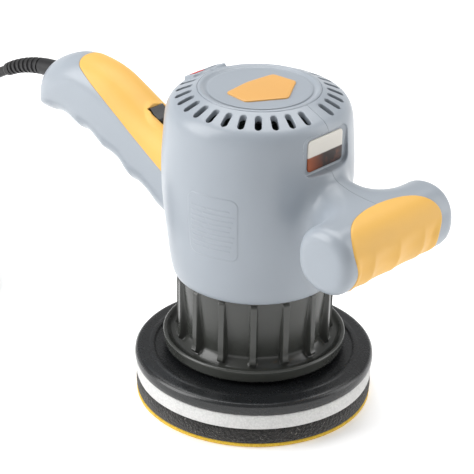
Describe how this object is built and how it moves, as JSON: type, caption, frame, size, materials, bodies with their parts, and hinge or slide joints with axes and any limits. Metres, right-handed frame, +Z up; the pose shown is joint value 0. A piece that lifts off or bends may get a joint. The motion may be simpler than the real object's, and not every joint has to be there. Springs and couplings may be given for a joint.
{
  "type": "dual action polisher",
  "caption": "Upright dual action polisher: vented motor barrel, rear handle with rocker switch, front T-handle, ribbed collar and round foam pad on an orbiting backing plate.",
  "frame": {"origin": "where the motor's axis meets the pad's working face", "axes": "+Z up along the motor's axis, +X towards the front T-handle, the housing's parting plane is y = 0"},
  "size_m": [0.419, 0.2176, 0.2066],
  "materials": {
    "body_plastic": "satin moulded, light blue-grey",
    "grip_rubber": "soft-touch overmould, orange-yellow",
    "emblem_plastic": "satin insert, orange",
    "label_print": "printed film, pale upper band over a dark lower band",
    "switch_plastic": "polished black",
    "slider_plastic": "red moulded, ribbed thumb piece",
    "collar_plastic": "satin black, glass filled",
    "plate_plastic": "satin black",
    "firm_foam": "closed-cell foam, white",
    "soft_foam": "open-cell foam, dark grey speckled",
    "face_foam": "dense finishing foam, yellow",
    "cord_rubber": "matt black sheath",
    "inner_plastic": "moulded dark green-grey",
    "fan_plastic": "moulded orange-brown",
    "board_plastic": "green moulded switch case",
    "steel": "ground steel",
    "dark_steel": "blackened steel",
    "lamination": "stacked electrical steel",
    "copper": "enamelled copper",
    "carbon": "carbon brush",
    "brass": "plain brass",
    "diecast": "die-cast",
    "tie_strap": "woven strap"
  },
  "bodies": {
    "body": {"housing_right": "body_plastic", "housing_left": "body_plastic", "housing_screws": "dark_steel", "top_cover": "body_plastic", "top_emblem": "emblem_plastic", "label_plate": "label_print", "rear_grip": "grip_rubber", "front_grip": "grip_rubber", "switch_body": "switch_plastic", "slider_switch": "board_plastic", "drive_collar": "collar_plastic", "collar_screws": "steel", "motor_bracket": "inner_plastic", "upper_bearing": "steel", "lower_bearing": "steel", "stator_core": "lamination", "field_coils": "copper", "brush_holders": "brass", "carbon_brushes": "carbon", "brush_springs": "steel", "strain_relief": "cord_rubber", "power_cord": "cord_rubber", "cord_coil": "cord_rubber", "plug_lead": "cord_rubber", "cord_tie": "tie_strap", "plug_body": "cord_rubber", "plug_blades": "steel"},
    "rotor": {"armature_shaft": "steel", "armature_core": "lamination", "armature_windings": "copper", "commutator": "copper", "cooling_fan": "fan_plastic", "eccentric_hub": "diecast", "counterweight": "lamination", "hub_bolt": "steel", "pad_bearings": "steel"},
    "pad": {"pad_spindle": "steel", "plate_stud": "steel", "backing_plate": "plate_plastic", "firm_foam": "firm_foam", "soft_foam": "soft_foam", "buffing_face": "face_foam"},
    "rocker": {"rocker_switch": "switch_plastic"},
    "slider": {"speed_slider": "slider_plastic"}
  },
  "joints": [
    {"name": "rotor_spin", "type": "hinge", "parent": "body", "child": "rotor", "pos_m": [0, 0, 0.1], "axis": [0, 0, 1], "continuous": true},
    {"name": "pad_spin", "type": "hinge", "parent": "rotor", "child": "pad", "pos_m": [0.00283, -0.00283, 0.05], "axis": [0, 0, 1], "continuous": true},
    {"name": "rocker_tilt", "type": "hinge", "parent": "body", "child": "rocker", "pos_m": [-0.08187, 0, 0.15576], "axis": [0, 1, 0], "range_deg": [0, 16]},
    {"name": "slider_slide", "type": "slide", "parent": "body", "child": "slider", "axis": [0, 1, 0], "range_m": [0, 0.013]}
  ]
}
